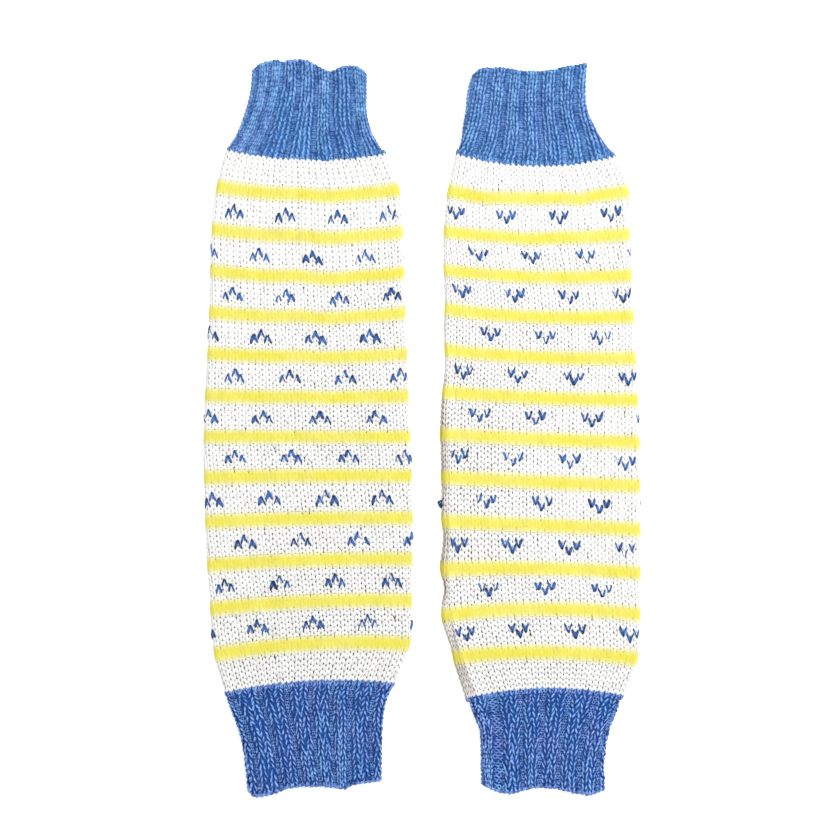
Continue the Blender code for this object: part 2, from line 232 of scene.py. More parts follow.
# The soft folds of the upper layer, and after them its finer creases: a ridge rises, a trough
# falls. The centre is a share of the width and a course, with its half width and half length.
Fold = namedtuple("Fold", "across course half_width half_length rise")
LEFT_FOLDS = rows_of(
    Fold, (0.14, 139, 0.12, 7, 1.5), (0.42, 140, 0.1, 8, 1.7), (0.68, 141, 0.09, 7, -0.5),
    (0.9, 138, 0.1, 8, 1.3), (0.4, 112, 0.05, 9, 0.9), (0.62, 108, 0.1, 10, 0.7),
    (0.12, 66, 0.07, 24, 1.2), (0.86, 58, 0.08, 26, 1), (0.5, 34, 0.14, 12, 0.8), (0.12, 4, 0.1, 8, 1.5),
    (0.46, 3, 0.14, 7, 0.9), (0.76, 2, 0.09, 8, 1.5),
)
RIGHT_FOLDS = rows_of(
    Fold, (0.1, 138, 0.12, 8, 1.4), (0.52, 140, 0.16, 8, 0.7), (0.92, 139, 0.08, 8, 1.5),
    (0.3, 110, 0.09, 12, 0.8), (0.74, 106, 0.08, 12, 0.8), (0.02, 60, 0.06, 30, 2.2),
    (0.03, 26, 0.07, 10, 2.6), (0.88, 62, 0.08, 28, 1), (0.56, 32, 0.12, 10, 0.7), (0.22, 3, 0.1, 8, 1.5),
    (0.54, 2, 0.12, 7, -0.4), (0.86, 3, 0.1, 8, 1.6),
)
LEFT_CREASES = rows_of(
    Fold, (0.445, 110, 0.018, 10, -0.7), (0.47, 111, 0.03, 8, 0.5), (0.72, 131, 0.03, 6, -0.7),
    (0.27, 94, 0.03, 7, -0.3), (0.66, 74, 0.05, 9, -0.3), (0.3, 48, 0.05, 8, -0.35),
    (0.8, 34, 0.05, 7, -0.3),
)
RIGHT_CREASES = rows_of(
    Fold, (0.062, 72, 0.02, 26, -0.8), (0.085, 30, 0.025, 12, -1), (0.46, 100, 0.04, 8, -0.3),
    (0.62, 82, 0.05, 10, -0.35), (0.36, 56, 0.05, 9, -0.35), (0.7, 40, 0.05, 8, -0.3),
    (0.93, 90, 0.03, 12, -0.4),
)

# The valleys between the ribs of each cuff, across from the left fold (0) to the right fold (1):
# where each lies at the hem, half way up the cuff and at the leg, and how far it stands open
RibValley = namedtuple("RibValley", "hem middle leg opening")
LEFT_BOTTOM_RIBS = rows_of(
    RibValley, (-0.05, -0.07, -0.09, 0.04), (0.105, 0.075, 0.045, 0.026), (0.265, 0.225, 0.205, 0.024),
    (0.415, 0.375, 0.362, 0.03), (0.545, 0.515, 0.512, 0.024), (0.655, 0.64, 0.643, 0.022),
    (0.755, 0.76, 0.765, 0.034), (0.93, 0.905, 0.9, 0.026), (1.07, 1.05, 1.04, 0.04),
)
LEFT_TOP_RIBS = rows_of(
    RibValley, (-0.08, -0.08, -0.1, 0.036), (0.052, 0.05, 0.037, 0.036), (0.165, 0.15, 0.12, 0.024),
    (0.27, 0.245, 0.2, 0.026), (0.4, 0.41, 0.372, 0.033), (0.545, 0.565, 0.54, 0.033),
    (0.68, 0.69, 0.695, 0.036), (0.843, 0.87, 0.85, 0.036), (0.975, 0.985, 1, 0.036),
    (1.1, 1.12, 1.14, 0.036),
)
RIGHT_BOTTOM_RIBS = rows_of(
    RibValley, (-0.11, -0.12, -0.13, 0.04), (0.03, 0.012, 0, 0.03), (0.157, 0.152, 0.165, 0.082),
    (0.35, 0.33, 0.345, 0.028), (0.476, 0.48, 0.49, 0.034), (0.622, 0.638, 0.664, 0.034),
    (0.783, 0.799, 0.834, 0.04), (0.933, 0.95, 0.985, 0.034), (1.08, 1.1, 1.13, 0.04),
)
RIGHT_TOP_RIBS = rows_of(
    RibValley, (-0.1, -0.1, -0.16, 0.036), (0.035, 0.035, -0.025, 0.03), (0.175, 0.176, 0.105, 0.037),
    (0.316, 0.316, 0.235, 0.035), (0.452, 0.455, 0.385, 0.037), (0.588, 0.598, 0.53, 0.037),
    (0.745, 0.745, 0.682, 0.039), (0.905, 0.886, 0.815, 0.04), (1.04, 1.03, 0.962, 0.04),
    (1.17, 1.16, 1.1, 0.036),
)

# How the lines of stitches run up each leg: the place of stitch 4 at some courses, in stitches
# from the left fold. The front is stretched a little, so that it holds fewer than half of them,
# and beside the fold they may crowd together, pushed along by so many stitches.
Twist = namedtuple("Twist", "course stitches crowd")
LEFT_TWIST = rows_of(
    Twist, (20, 7.3, 0), (31, 6.95, 0), (47, 6.15, 0), (63, 5.35, 0), (79, 4.85, 0), (95, 4.3, 0),
    (111, 3.85, 0), (122, 3.6, 0),
)
RIGHT_TWIST = rows_of(
    Twist, (20, 4, 1.1), (31, 3.7, 1), (39, 3.35, 0.4), (47, 3, 0.9), (55, 2.95, 0.3), (63, 2.95, 0.8),
    (71, 3.1, 0.1), (87, 3.75, 0), (95, 3.5, 0.3), (103, 2.7, 0.3), (111, 2, 0.1), (122, 1.5, 0),
)
TWIST_STITCH = 4
CROWD_REACH = 0.024

# Small waves of the left fold's line: how far it lies in from the measured sections
SideWave = namedtuple("SideWave", "course inwards")
LEFT_SIDE_WAVES = rows_of(
    SideWave, (0, 0), (TOTAL_COURSES, 0),
)
RIGHT_SIDE_WAVES = rows_of(
    SideWave, (0, 0), (20, -0.8), (24, 0.8), (28, 2.4), (31, 1.4), (34, -0.2), (37, 0), (39.6, 1.9),
    (42, 0.2), (44, -0.6), (48, 1.1), (52, 0), (58, 0.1), (67, -0.7), (73, 0), (78, 1.7), (82, 2.1),
    (87, 1.3), (92, 1.8), (104, 0.3), (TOTAL_COURSES, 0),
)
SIDE_WAVE_REACH = 0.05

# Patches of looser or tighter knitting: how much wider or narrower the holes between stitches are
LEFT_HOLES = rows_of(
    Fold, (0.5, 117, 0.9, 14, -1.1), (0.35, 92, 0.3, 14, -0.15), (0.7, 34, 0.7, 26, 0.45),
    (0.05, 95, 0.22, 40, -0.4), (0.5, 22, 0.9, 10, 0.5), (0.445, 112, 0.02, 12, 0.7),
    (0.6, 70, 0.4, 14, 0.3),
)
RIGHT_HOLES = rows_of(
    Fold, (0.5, 112, 0.9, 18, -0.65), (0.18, 56, 0.25, 32, 0.55), (0.95, 62, 0.25, 40, -0.4),
    (0.6, 24, 0.6, 12, 0.45), (0.6, 90, 0.2, 20, 0.1), (0.04, 50, 0.04, 30, 0.5),
    (0.06, 25, 0.08, 8, 0.3),
)

# Painted shade along folds and creases, where the cloth turns away from the lamp: darker lines and bands;
# here the rise is the loss of lightness
LEFT_SHADES = rows_of(
    Fold, (0.445, 112, 0.0035, 10, 0.26), (0.998, 60, 0.006, 50, 0.1),
)
RIGHT_SHADES = rows_of(
    Fold, (0.006, 90, 0.01, 12, 0.3), (0.014, 73, 0.01, 6, 0.4), (0.019, 62, 0.013, 8, 0.5),
    (0.021, 46, 0.014, 5, 0.55), (0.018, 39.6, 0.013, 2, 0.6), (0.014, 26, 0.01, 10, 0.35),
    (0.017, 48, 0.012, 36, 0.2), (0.04, 69, 0.004, 6, 0.5), (0.036, 60, 0.004, 5, 0.45),
    (0.043, 47, 0.004, 8, 0.55), (0.06, 27, 0.006, 8, 0.6), (0.075, 24, 0.006, 5, 0.5),
    (0.052, 57, 0.004, 12, 0.35), (0.022, 23, 0.006, 5, 0.5), (0.042, 25, 0.006, 6, 0.5),
    (0.022, 55, 0.022, 24, 0.06), (0.03, 27, 0.026, 10, 0.14),
)

# Places where the courses run a little higher or lower than their smooth lines, in millimetres
LEFT_WARPS = rows_of(
    Fold, (0.45, 100, 0.07, 22, 0.8), (0.63, 102, 0.12, 22, -1.1), (0.9, 100, 0.15, 25, -0.6),
    (0.5, 72, 0.9, 7, -1), (0.5, 59, 0.9, 4, 0.9),
)
RIGHT_WARPS = rows_of(
    Fold, (0.2, 115, 0.12, 5, -1.3), (0.73, 115, 0.06, 5, -1.5), (0.45, 108, 0.12, 5, -1),
    (0.5, 43, 0.9, 4, -1),
)

LegWarmer = namedtuple(
    "LegWarmer", "side knit_up stretch sections bottom_hem top_hem folds creases side_waves bottom_ribs "
    "top_ribs twist holes shades warps")
LEFT = LegWarmer(
    "left", False, 0.012, LEFT_SECTIONS, LEFT_BOTTOM_HEM, LEFT_TOP_HEM, LEFT_FOLDS, LEFT_CREASES,
    LEFT_SIDE_WAVES, LEFT_BOTTOM_RIBS, LEFT_TOP_RIBS, LEFT_TWIST, LEFT_HOLES, LEFT_SHADES, LEFT_WARPS)
RIGHT = LegWarmer(
    "right", True, 0.018, RIGHT_SECTIONS, RIGHT_BOTTOM_HEM, RIGHT_TOP_HEM, RIGHT_FOLDS, RIGHT_CREASES,
    RIGHT_SIDE_WAVES, RIGHT_BOTTOM_RIBS, RIGHT_TOP_RIBS, RIGHT_TWIST, RIGHT_HOLES, RIGHT_SHADES,
    RIGHT_WARPS)
PAIR = (LEFT, RIGHT)

# The wall of a tube, and how far its face starts inside the measured folds so that ribs reach them
Wall = namedtuple("Wall", "thickness inset")
LEG_WALL = Wall(2.4, 0.0)
CUFF_WALL = Wall(2.2, RIB_HEIGHT)

# Soft unevenness of the laid cloth: how many half waves lie across it, how many courses long each
# wave is, where it starts and how high it is
Ripple = namedtuple("Ripple", "half_waves length start height")
RIPPLES = rows_of(Ripple, (3.0, 17.0, 0.4, 0.14), (5.0, -11.0, 1.9, 0.12), (9.0, 7.3, 4.1, 0.07))


def smooth_step(share):
    """0 below 0 and 1 above 1, with a soft start and end between them."""
    share = np.clip(share, 0.0, 1.0)
    return share * share * (3 - 2 * share)


def rows_at(rows, place):
    """Every column of a table at places of its first column, on smooth curves through the rows."""
    table = np.array(rows, dtype=float)
    stops = table[:, 0]
    place = np.asarray(place, dtype=float)
    index = np.clip(np.searchsorted(stops, place, side="right") - 1, 0, len(rows) - 2)
    start, end = table[index], table[index + 1]
    before, after = table[np.maximum(index - 1, 0)], table[np.minimum(index + 2, len(rows) - 1)]
    span = (end - start)[..., :1]
    t = (place - stops[index])[..., None] / span
    start_slope = (end - before) / (end - before)[..., :1]
    end_slope = (after - start) / (after - start)[..., :1]
    values = (start * (1 + 2 * t) * (1 - t) ** 2 + end * (3 - 2 * t) * t ** 2
              + start_slope * span * t * (1 - t) ** 2 - end_slope * span * (1 - t) * t ** 2)
    return np.moveaxis(values, -1, 0)[1:]


def patch_sum(patches, across, course):
    """The sum of some soft patches, each with its own rise, half width and half length."""
    total = 0.0
    for patch in patches:
        beside = (across - patch.across) / patch.half_width
        along = (course - patch.course) / patch.half_length
        total = total + patch.rise * np.exp(-beside ** 2 - along ** 2)
    return total


def upper_layer_lift(warmer, across, course):
    """How far the upper layer lies above its lowest height."""
    to_side = np.minimum(across, 1 - across)
    to_hem = np.minimum(course, TOTAL_COURSES - course)
    lift = SIDE_PUFF * np.exp(-((to_side / SIDE_PUFF_REACH) ** 2))
    lift = lift + MOUTH_PUFF * np.exp(-to_hem / MOUTH_REACH) * smooth_step(to_side / SIDE_PUFF_REACH)
    lift = lift + patch_sum(warmer.folds, across, course)
    lift = MOST_LIFT * np.tanh(lift / MOST_LIFT) + patch_sum(warmer.creases, across, course)
    for ripple in RIPPLES:
        wave = ripple.half_waves * pi * across + 2 * pi * course / ripple.length + ripple.start
        lift = lift + ripple.height * np.sin(wave)
    return lift


def height_along(warmer, across, course):
    """How far up the tube a course runs at one share of the width, with the wave of the hems."""
    left_y, middle_y, right_y = rows_at(warmer.sections, course)[2:]
    bow = middle_y - (left_y + right_y) / 2
    height = left_y + (right_y - left_y) * across + 4 * bow * across * (1 - across)
    height = height + patch_sum(warmer.warps, across, course)
    height = height - rows_at(warmer.bottom_hem, across)[0] * np.exp(-course / HEM_WAVE_REACH)
    return height + rows_at(warmer.top_hem, across)[0] * np.exp(-(TOTAL_COURSES - course) / HEM_WAVE_REACH)


def cloth_points(warmer, wall, share, course, out, rise=0.0):
    """Points in metres at shares of the way round, courses up the tube and millimetres out of its face.

    The way round starts at the outermost point of the left fold and runs over the upper layer.
    The rise of a rib is added to out, and fades where the tube turns under to lie flat.
    """
    share, course = np.broadcast_arrays(np.asarray(share, float), np.asarray(course, float))
    left, right = rows_at(warmer.sections, course)[:2]
    left = left + wall.inset
    width = right - wall.inset - left
    radius = wall.thickness + LAYER_GAP / 2
    straight = width - 2 * radius
    quarter = radius * pi / 2
    perimeter = 2 * straight + 4 * quarter
    arc = (share * perimeter + quarter) % perimeter
    left_turn = np.clip(arc, 0, 2 * quarter)
    over = np.clip(arc - 2 * quarter, 0, straight)
    right_turn = np.clip(arc - 2 * quarter - straight, 0, 2 * quarter)
    under = np.clip(arc - 4 * quarter - straight, 0, straight)
    turn = (left_turn + right_turn) / radius
    face_x, face_z = -np.sin(turn), -np.cos(turn)
    upper = (1 + face_z) / 2
    out = out + rise * smooth_step((upper - RIB_FADE_START) / RIB_FADE_LENGTH)
    x = radius + over - under + (radius + out) * face_x
    z = radius + (radius + out) * face_z
    across = np.clip(x / width, 0.0, 1.0)
    z = z + upper_layer_lift(warmer, across, course) * smooth_step(upper)
    x = x + rows_at(warmer.side_waves, course)[0] * np.exp(-across / SIDE_WAVE_REACH)
    y = height_along(warmer, across, course)
    return np.stack((left + x, y, np.maximum(z, 0.0)), axis=-1) * MM


# The order of a face's corners where it looks the other way
TURNED = [0, 3, 2, 1]


def faces_between(shape, is_closed=False):
    """Four-sided faces between the points of some grids, which may close round their last axis."""
    index = np.arange(np.prod(shape)).reshape(shape)
    here, beside = index[..., :-1], index[..., 1:]
    if is_closed:
        here, beside = index, np.roll(index, -1, axis=-1)
    return np.stack((here[..., :-1, :], beside[..., :-1, :], beside[..., 1:, :], here[..., 1:, :]), axis=-1)


def new_piece(name, points, quads, material):
    """A smooth mesh object from points and four-sided faces, fixed to the pair."""
    mesh = bpy.data.meshes.new(name)
    mesh.vertices.add(len(points))
    mesh.vertices.foreach_set("co", points.astype(np.float32).ravel())
    mesh.loops.add(quads.size)
    mesh.loops.foreach_set("vertex_index", quads.astype(np.int32).ravel())
    mesh.polygons.add(len(quads))
    mesh.polygons.foreach_set("loop_start", np.arange(0, quads.size, 4, dtype=np.int32))
    mesh.update(calc_edges=True)
    mesh.materials.append(material)
    mesh.shade_smooth()
    piece = new_object(name, mesh)
    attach(piece, "root")
    return piece


def set_uv(piece, across, along):
    """Where each point lies on the cloth or along its yarn, for the material to read."""
    mesh = piece.data
    corner = np.empty(len(mesh.loops), dtype=np.int32)
    mesh.loops.foreach_get("vertex_index", corner)
    places = np.stack((across[corner], along[corner]), axis=-1).astype(np.float32)
    mesh.uv_layers.new(name="yarn").data.foreach_set("uv", places.ravel())


def yarn_place(material):
    return add_node(material, "ShaderNodeUVMap", {"uv_map": "yarn"}).outputs["UV"]


def solid_place(material):
    return add_node(material, "ShaderNodeTexCoord").outputs["Object"]


def written_at_points(material, name, output="Fac"):
    return add_node(material, "ShaderNodeAttribute", {"attribute_name": name}).outputs[output]


LINT_SCALE = 850.0


def ground_material(name):
    """The back of the cloth, seen between stitches: loops of the yarn, coloured at each point; behind the
    white and motif rows that colour is painted shade.
    """
    material = new_material(name, Roughness=0.95, Specular_IOR_Level=0.1)
    loops = add_node(material, "ShaderNodeTexWave", {"bands_direction": "Y"}, Vector=yarn_place(material),
                     Scale=1.0, Distortion=2.0, Detail_Scale=1.0)
    lint = noise(material, solid_place(material), LINT_SCALE, 3.0)
    shade = mapped(material, lint, From_Min=0.3, From_Max=0.7, To_Min=0.5, To_Max=1.6)
    colour = mix_colours(material, 1.0, written_at_points(material, "ground", "Color"), shade, "MULTIPLY")
    bump = add_node(material, "ShaderNodeBump", Height=loops.outputs["Fac"], Strength=0.6,
                    Distance=0.5 * MM)
    set_inputs(shader_of(material), Base_Color=colour, Normal=bump.outputs["Normal"])
    return material


STRIPE_COURSES = 2
STRIPE_REPEAT = 8
STRIPE_COUNT = 12
FIRST_STRIPE = 26
MOTIF_FROM_STRIPE = 4
SHELL_STATIONS = 56

# The colour of the ground behind each kind of row, and how deep it lies under the face. Behind white and
# motif rows the colour is painted shade, near black, so that the gaps between stitches show as dark holes;
# behind the stripes and cuffs it is the yarn's own colour.
Ground = namedtuple("Ground", "colour depth")
BEHIND = {
    "white": Ground((0.06, 0.06, 0.06), 1.80),
    "yellow": Ground((0.74, 0.68, 0.12), 0.50),
    "motif": Ground((0.06, 0.06, 0.08), 1.80),
    "bottom": Ground((0.014, 0.07, 0.29), 1.10),
    "top": Ground((0.035, 0.13, 0.40), 1.15),
}
INSIDE_LEG = (0.62, 0.60, 0.55)
INSIDE_CUFF = (0.06, 0.17, 0.48)


def row_of(course):
    """What the row of stitches at a course of the leg is: a stripe, a row of motifs or plain white."""
    from_stripe = course - FIRST_STRIPE
    if from_stripe < 0 or from_stripe >= STRIPE_REPEAT * (STRIPE_COUNT - 1) + STRIPE_COURSES:
        return "white"
    step = from_stripe % STRIPE_REPEAT
    if step < STRIPE_COURSES:
        return "yellow"
    if MOTIF_FROM_STRIPE <= step < MOTIF_FROM_STRIPE + STRIPE_COURSES:
        return "motif"
    return "white"


def tube_shell(node, stations, rings, face, inside, grounds, inside_colour):
    """A thin closed tube of cloth: its face side and its inside, joined round both ends."""
    count = stations.size
    quads = faces_between(stations.shape, is_closed=True)
    index = np.arange(count).reshape(stations.shape)
    after = np.roll(index, -1, axis=1)
    low = np.stack((index[0], index[0] + count, after[0] + count, after[0]), axis=-1)
    high = np.stack((index[-1], after[-1], after[-1] + count, index[-1] + count), axis=-1)
    faces = (quads.reshape(-1, 4), quads[..., TURNED].reshape(-1, 4) + count, low, high)
    points = np.concatenate((face.reshape(-1, 3), inside.reshape(-1, 3)))
    shell = new_piece(f"{node}_cloth", points, np.concatenate(faces), cloth_back_painted_shade)
    set_uv(shell, np.tile(stations.ravel(), 2) * LEG_STITCHES, np.tile(rings.ravel(), 2))
    colours = np.ones((2 * count, 4), dtype=np.float32)
    colours[:count, :3] = np.repeat([ground.colour for ground in grounds], stations.shape[1], axis=0)
    colours[count:, :3] = inside_colour
    shell.data.attributes.new("ground", "FLOAT_COLOR", "POINT").data.foreach_set("color", colours.ravel())
    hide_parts(node)
    stitched[node] = []


# The material of the cloth's back, and the yarn pieces made for each node
cloth_back_painted_shade = ground_material("cloth_back_painted_shade")
stitched = {}

for warmer in PAIR:
    courses = np.arange(CUFF_COURSES, TOTAL_COURSES - CUFF_COURSES + 1)
    shares, rings = np.meshgrid(np.arange(SHELL_STATIONS) / SHELL_STATIONS, courses)
    grounds = [BEHIND[row_of(course)] for course in courses]
    depth = np.array([ground.depth for ground in grounds])[:, None]
    face = cloth_points(warmer, LEG_WALL, shares, rings, -depth)
    inside = cloth_points(warmer, LEG_WALL, shares, rings, -LEG_WALL.thickness)
    tube_shell(f"{warmer.side}_leg", shares, rings, face, inside, grounds, INSIDE_LEG)

Cuff = namedtuple("Cuff", "node warmer end valleys is_top first")
CUFFS = tuple(
    Cuff(f"{warmer.side}_{end}_cuff", warmer, end, valleys, end == "top", first)
    for warmer in PAIR
    for end, valleys, first in (("bottom", warmer.bottom_ribs, 0),
                                ("top", warmer.top_ribs, TOTAL_COURSES - CUFF_COURSES))
)
RIB_STATIONS = 6
HEM_INSET = 0.2
UNDER_OPENING = 0.045


def rib_edges(valleys, from_hem):
    """The shares of the way round of every rib's two edges: listed above, even on the underside."""
    t = from_hem / CUFF_COURSES
    hem, middle, leg = (1 - t) * (1 - 2 * t), 4 * t * (1 - t), t * (2 * t - 1)
    places = [valley.hem * hem + valley.middle * middle + valley.leg * leg for valley in valleys]
    openings = [valley.opening for valley in valleys]
    hidden = RIBS_ROUND + 1 - len(places)
    gap = places[0] + 2 - places[-1]
    last = places[-1]
    for step in range(1, hidden):
        places.append(last + gap * step / hidden)
        openings.append(UNDER_OPENING)
    places.append(places[0] + 2)
    openings.append(openings[0])
    starts = np.stack([place + opening / 2 for place, opening in zip(places[:-1], openings[:-1])]) / 2
    ends = np.stack([place - opening / 2 for place, opening in zip(places[1:], openings[1:])]) / 2
    return starts, ends


def rib_rise(phase):
    """How far a rib stands up at a share of the way from one of its edges to the other."""
    return RIB_HEIGHT * np.clip(1 - np.abs(2 * phase - 1) ** 2.2, 0.0, 1.0)


def rib_spans(cuff, phase, course):
    """Where the rib at each phase starts and ends, and where the next one starts."""
    from_hem = np.clip(TOTAL_COURSES - course if cuff.is_top else course, 0, CUFF_COURSES)
    starts, ends = rib_edges(cuff.valleys, from_hem)
    turns, rib = np.divmod(np.floor(phase).astype(int), RIBS_ROUND)
    following, next_rib = np.divmod(rib + 1, RIBS_ROUND)
    start = np.take_along_axis(starts, rib[None], axis=0)[0] + turns
    end = np.take_along_axis(ends, rib[None], axis=0)[0] + turns
    next_start = np.take_along_axis(starts, next_rib[None], axis=0)[0] + following + turns
    return start, end, next_start


def cuff_share(cuff, phase, course):
    """The share of the way round at a phase of the cuff. Whole numbers are the first edges of the
    ribs and half numbers their second edges, and between those and the next rib lie the valleys."""
    start, end, next_start = rib_spans(cuff, phase, course)
    within = 2 * (phase - np.floor(phase))
    return np.where(within < 1, start + (end - start) * within, end + (next_start - end) * (within - 1))


def cuff_points(cuff, phase, course, out):
    """Points of a cuff in metres, at phases of its ribs, courses and millimetres out of its face."""
    phase, course = np.broadcast_arrays(np.asarray(phase, float), np.asarray(course, float))
    within = 2 * (phase - np.floor(phase))
    rise = np.where(within < 1, rib_rise(within), 0.0)
    return cloth_points(cuff.warmer, CUFF_WALL, cuff_share(cuff, phase, course), course, out, rise)


for cuff in CUFFS:
    courses = np.linspace(HEM_INSET, CUFF_COURSES, CUFF_COURSES)
    if cuff.is_top:
        courses = np.sort(TOTAL_COURSES - courses)
    phases, rings = np.meshgrid(np.arange(RIBS_ROUND * RIB_STATIONS) / RIB_STATIONS, courses)
    ground = BEHIND[cuff.end]
    face = cuff_points(cuff, phases, rings, -ground.depth)
    inside = cloth_points(cuff.warmer, CUFF_WALL, cuff_share(cuff, phases, rings), rings,
                          -CUFF_WALL.thickness)
    tube_shell(cuff.node, phases, rings, face, inside, [ground] * len(courses),
               INSIDE_CUFF)

# Stocking stitch of the legs
# Every stitch is a loop of yarn drawn through the one before, and shows on this side as the two
# legs of a V. The left leg warmer lies the other way up, so that its stitches point upwards.
COURSE_HEIGHT = 3.14
STITCH_WIDTH = 4.27
FRONT_STEPS = (0.0, 0.2, 0.45, 0.72, 1.0)
FRONT_ANGLES = (-20, 45, 90, 135, 200)
BACK_STEPS = (0.05, 0.5, 0.95)
BACK_ANGLES = (0, 90, 180)
LAYERS = {"front": (FRONT_STEPS, FRONT_ANGLES), "back": (BACK_STEPS, BACK_ANGLES)}
FOLD_REACH = 0.032
STRIPE_CORE = 0.57
STRIPE_FADE = 1.46
DYE_SCALE = 800.0
PATCH_SCALE = 260.0
CLOUD_SCALE = 55.0

# One kind of stitch: how far apart its two halves are at the foot and at the head, where it starts
# and how long it is in courses, the yarn's half width, how much of it is left where it is pinched at
# the foot and at the head, how flat it lies, how far both ends dip and how far the stitch stands out
Knit = namedtuple("Knit", "foot head start length radius foot_end head_end flat dip stand")
WHITE_KNIT = Knit(0.11, 0.42, -0.28, 1.55, 1.15, 0.28, 0.38, 0.40, 0.80, 0.0)
YELLOW_KNIT = Knit(0.12, 0.40, -0.34, 1.68, 1.50, 0.95, 0.95, 0.13, 0.03, 0.0)
HEAD_DIP = 0.8
FOOT_CLOSES = 0.35
DEEPEST_DIP = 1.5
DIP_SKEW = 0.7
YARN_SWELL = 0.8
THINNEST_END = 0.06
LEG_OVERLAP = 0.3
LEG_TONE = 0.97
LEG_TONE_SPREAD = 0.04
STITCH_SEEDS = {"left": 12, "right": 11}

# How uneven stitches are, what part of that goes to their size, their place, the place of each half
# and their pinched ends, how far they rise or sink, and how far along a yarn its texture may start
UNEVENNESS = 0.09
UNEVEN_SIZE = 0.5
UNEVEN_PLACE = 0.4
UNEVEN_HALF = 0.2
UNEVEN_END = 2.8
UNEVEN_LIFT = 0.05
TEXTURE_START = 60

# The faces of some yarn, and where each of its points lies along it and round it in millimetres
Run = namedtuple("Run", "faces along round_yarn")


def times_plus(material, value, factor, addend):
    """An output times a number, plus another output."""
    node = add_node(material, "ShaderNodeMath", {"operation": "MULTIPLY_ADD"})
    node.inputs[1].default_value = factor
    material.node_tree.links.new(value, node.inputs[0])
    material.node_tree.links.new(addend, node.inputs[2])
    return node.outputs["Value"]


def yarn_material(name, dark, lights, mottle, patches, stripe_dark=None, stripe_lights=None):
    """Matt spun yarn: plies twisted round each other, soft fibres along them and an uneven dye.

    Tone says how light each point is, from the dark colour to the light one, which wanders between two
    shades. Besides random unevenness it carries painted light and shade: lighter crests, darker flanks,
    ends, valleys and folds. Where the yarn changes to a stripe, the attribute stripe says how far, and the
    stripes fall toward their own dark colour with the tone."""
    material = new_material(name, Roughness=0.92, Sheen_Weight=0.12, Sheen_Roughness=0.6,
                            Specular_IOR_Level=0.15)
    on_yarn, in_solid = yarn_place(material), solid_place(material)
    fibre_run = add_node(material, "ShaderNodeMapping", Vector=on_yarn, Scale=(0.6, 5.0, 1.0))
    fibres = noise(material, fibre_run.outputs["Vector"], 1.6, 3.0)
    ply_run = add_node(material, "ShaderNodeMapping", Vector=on_yarn, Rotation=(0.0, 0.0, radians(38)))
    plies = add_node(material, "ShaderNodeTexWave", Vector=ply_run.outputs["Vector"], Scale=0.45,
                     Distortion=1.2, Detail_Scale=1.5)

    dye = noise(material, in_solid, DYE_SCALE, 3.0, Roughness=0.6)
    tone = times_plus(material, dye, mottle, written_at_points(material, "tone"))
    tone = times_plus(material, fibres, mottle * 0.5, tone)
    patch_run = add_node(material, "ShaderNodeMapping", Vector=in_solid, Scale=(1.0, 0.4, 1.0))
    patch = noise(material, patch_run.outputs["Vector"], PATCH_SCALE, 2.0)
    tone = times_plus(material, patch, patches, tone)
    middle = mottle * 0.75 + patches * 0.5
    lightness = mapped(material, tone, From_Min=middle, From_Max=middle + 1.0)
    cloud = mapped(material, noise(material, in_solid, CLOUD_SCALE, 2.0), From_Min=0.35, From_Max=0.65)
    colour = mix_colours(material, lightness, dark, mix_colours(material, cloud, *lights))
    if stripe_lights:
        stripe_light = mix_colours(material, cloud, *stripe_lights)
        stripe = mix_colours(material, lightness, stripe_dark, stripe_light)
        colour = mix_colours(material, written_at_points(material, "stripe"), colour, stripe)

    ply_bump = add_node(material, "ShaderNodeBump", Height=plies.outputs["Fac"], Strength=0.4,
                        Distance=0.15 * MM)
    fibre_bump = add_node(material, "ShaderNodeBump", Height=fibres, Strength=0.4, Distance=0.08 * MM,
                          Normal=ply_bump.outputs["Normal"])
    set_inputs(shader_of(material), Base_Color=colour, Normal=fibre_bump.outputs["Normal"])
    return material


def each(values):
    """One value for each stitch, to be met by its halves, steps and angles."""
    return np.asarray(values)[:, None, None, None]


def run_of(shape, faces, along, round_yarn):
    """The run of some yarn, with its values spread over all the points."""
    return Run(faces.reshape(-1, 4), np.broadcast_to(along, shape), np.broadcast_to(round_yarn, shape))


def on_front(share):
    """Which shares of the way round lie on the upper layer or just past its folds."""
    return (share < 0.5 + FOLD_REACH) | (share > 1 - FOLD_REACH)


def from_left_fold(share):
    """How much of the way round lies between the left fold and a share, below 0 on the underside."""
    return (share + 0.5) % 1.0 - 0.5


def stitch_share(warmer, stitch, course):
    """The share of the way round at which a line of the leg's stitches lies at one course."""
    twist, crowd = rows_at(warmer.twist, course)
    turn = (stitch - TWIST_STITCH + twist) / LEG_STITCHES
    pushed = crowd / LEG_STITCHES * np.exp(-((from_left_fold(turn) / CROWD_REACH) ** 2))
    return turn + warmer.stretch * (1 - np.cos(2 * pi * turn)) + pushed


